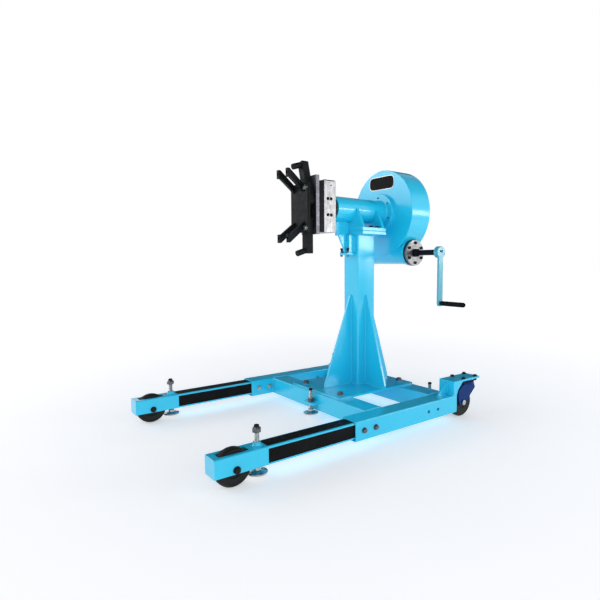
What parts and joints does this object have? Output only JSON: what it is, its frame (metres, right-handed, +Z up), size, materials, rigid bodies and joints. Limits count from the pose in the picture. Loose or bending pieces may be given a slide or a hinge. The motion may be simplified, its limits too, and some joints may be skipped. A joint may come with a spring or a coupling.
{
  "type": "engine stand",
  "caption": "Wheeled engine stand with sliding legs, a gusseted column and a crank-driven worm gearbox that turns an engine mounting head.",
  "frame": {"origin": "middle of the footprint, on the floor", "axes": "+X across the base towards the crank, +Y from the engine side to the rear casters along the spindle, +Z up"},
  "size_m": [0.8728, 1.242, 1.101],
  "materials": {
    "blue_paint": "gloss",
    "turquoise_paint": "gloss",
    "navy_paint": "gloss",
    "milled_steel": "brushed",
    "ground_grey_steel": "satin",
    "black_steel": "satin",
    "charcoal_casting": "matte",
    "zinc_plate": "satin",
    "bearing_steel": "polished",
    "gear_bronze": "satin",
    "tyre_rubber": "matte",
    "seal_rubber": "matte",
    "black_plastic": "matte"
  },
  "bodies": {
    "frame": {"rail_right": "blue_paint", "rail_left": "blue_paint", "front_crossmember": "blue_paint", "rear_crossmember": "blue_paint", "foot_plate": "blue_paint", "column": "blue_paint", "gusset_right": "blue_paint", "gusset_rear": "blue_paint", "gusset_left": "blue_paint", "gusset_front": "blue_paint", "column_top_plate": "blue_paint", "saddle_plate": "blue_paint", "cradle_front": "blue_paint", "cradle_rear": "blue_paint", "nose_gusset": "blue_paint", "nose_ledge": "blue_paint", "spindle_housing": "blue_paint", "spindle_bearing_front": "bearing_steel", "spindle_bearing_rear": "bearing_steel", "spindle_seal": "seal_rubber", "gearbox_shell": "blue_paint", "gearbox_cover": "blue_paint", "worm_bearing_inner": "bearing_steel", "worm_bearing_outer": "bearing_steel", "worm_end_cap": "milled_steel", "worm_blind_cap": "blue_paint", "caster_bracket_right": "blue_paint", "caster_bracket_left": "blue_paint"},
    "spindle": {"spindle": "black_steel", "worm_wheel": "gear_bronze", "head_base": "milled_steel", "head_guide": "milled_steel"},
    "head_slide": {"head_slide_block": "black_steel", "mounting_plate": "ground_grey_steel", "adapter_bracket": "charcoal_casting"},
    "upper_arm": {"adapter_arm_upper": "charcoal_casting"},
    "lower_arm": {"adapter_arm_lower": "charcoal_casting"},
    "crank": {"worm_shaft": "black_steel", "crank_arm": "turquoise_paint"},
    "grip": {"crank_grip": "black_plastic"},
    "leg_right": {"leg_right": "blue_paint", "slide_strip_top_right": "black_plastic", "slide_strip_side_right": "black_plastic", "front_axle_right": "black_steel"},
    "front_wheel_right": {"front_wheel_right": "tyre_rubber"},
    "foot_leg_right": {"levelling_foot_leg_right": "zinc_plate"},
    "foot_rear_right": {"levelling_foot_rear_right": "zinc_plate"},
    "fork_right": {"caster_fork_right": "navy_paint"},
    "caster_wheel_right": {"caster_wheel_right": "tyre_rubber"},
    "leg_left": {"leg_left": "blue_paint", "slide_strip_top_left": "black_plastic", "slide_strip_side_left": "black_plastic", "front_axle_left": "black_steel"},
    "front_wheel_left": {"front_wheel_left": "tyre_rubber"},
    "foot_leg_left": {"levelling_foot_leg_left": "zinc_plate"},
    "foot_rear_left": {"levelling_foot_rear_left": "zinc_plate"},
    "fork_left": {"caster_fork_left": "navy_paint"},
    "caster_wheel_left": {"caster_wheel_left": "tyre_rubber"},
    "foot_front": {"levelling_foot_front": "zinc_plate"}
  },
  "joints": [
    {"name": "spindle_turn", "type": "hinge", "parent": "frame", "child": "spindle", "pos_m": [-0.0076, 0.279, 0.905], "axis": [0, 1, 0], "continuous": true},
    {"name": "crank_turn", "type": "hinge", "parent": "frame", "child": "crank", "pos_m": [0.2964, 0.477, 0.717], "axis": [1, 0, 0], "continuous": true},
    {"name": "grip_spin", "type": "hinge", "parent": "crank", "child": "grip", "pos_m": [0.3724, 0.477, 0.495], "axis": [1, 0, 0], "continuous": true},
    {"name": "head_slide", "type": "slide", "parent": "spindle", "child": "head_slide", "axis": [0, 0, 1], "range_m": [-0.05, 0.05]},
    {"name": "upper_arm_swing", "type": "hinge", "parent": "head_slide", "child": "upper_arm", "pos_m": [0.0224, -0.017, 0.925], "axis": [0, 1, 0], "range_deg": [-8, 25]},
    {"name": "lower_arm_swing", "type": "hinge", "parent": "head_slide", "child": "lower_arm", "pos_m": [0.0104, -0.017, 0.85], "axis": [0, 1, 0], "range_deg": [-15, 20]},
    {"name": "leg_slide_right", "type": "slide", "parent": "frame", "child": "leg_right", "axis": [0, 1, 0], "range_m": [0, 0.345]},
    {"name": "front_wheel_spin_right", "type": "hinge", "parent": "leg_right", "child": "front_wheel_right", "pos_m": [0.3769, -0.551, 0.06], "axis": [1, 0, 0], "continuous": true},
    {"name": "foot_leg_screw_right", "type": "slide", "parent": "leg_right", "child": "foot_leg_right", "axis": [0, 0, 1], "range_m": [-0.015, 0.004]},
    {"name": "foot_rear_screw_right", "type": "slide", "parent": "frame", "child": "foot_rear_right", "axis": [0, 0, 1], "range_m": [-0.021, 0.001]},
    {"name": "caster_swivel_right", "type": "hinge", "parent": "frame", "child": "fork_right", "pos_m": [0.3769, 0.573, 0.15], "axis": [0, 0, 1], "continuous": true},
    {"name": "caster_spin_right", "type": "hinge", "parent": "fork_right", "child": "caster_wheel_right", "pos_m": [0.3769, 0.533, 0.0625], "axis": [1, 0, 0], "continuous": true},
    {"name": "leg_slide_left", "type": "slide", "parent": "frame", "child": "leg_left", "axis": [0, 1, 0], "range_m": [0, 0.345]},
    {"name": "front_wheel_spin_left", "type": "hinge", "parent": "leg_left", "child": "front_wheel_left", "pos_m": [-0.3921, -0.551, 0.06], "axis": [1, 0, 0], "continuous": true},
    {"name": "foot_leg_screw_left", "type": "slide", "parent": "leg_left", "child": "foot_leg_left", "axis": [0, 0, 1], "range_m": [-0.015, 0.004]},
    {"name": "foot_rear_screw_left", "type": "slide", "parent": "frame", "child": "foot_rear_left", "axis": [0, 0, 1], "range_m": [-0.021, 0.001]},
    {"name": "caster_swivel_left", "type": "hinge", "parent": "frame", "child": "fork_left", "pos_m": [-0.3921, 0.573, 0.15], "axis": [0, 0, 1], "continuous": true},
    {"name": "caster_spin_left", "type": "hinge", "parent": "fork_left", "child": "caster_wheel_left", "pos_m": [-0.3921, 0.533, 0.0625], "axis": [1, 0, 0], "continuous": true},
    {"name": "foot_front_screw", "type": "slide", "parent": "frame", "child": "foot_front", "axis": [0, 0, 1], "range_m": [-0.021, 0.001]}
  ],
  "couplings": [
    {"joint": "crank_turn", "follows": "spindle_turn", "ratio": 60}
  ]
}
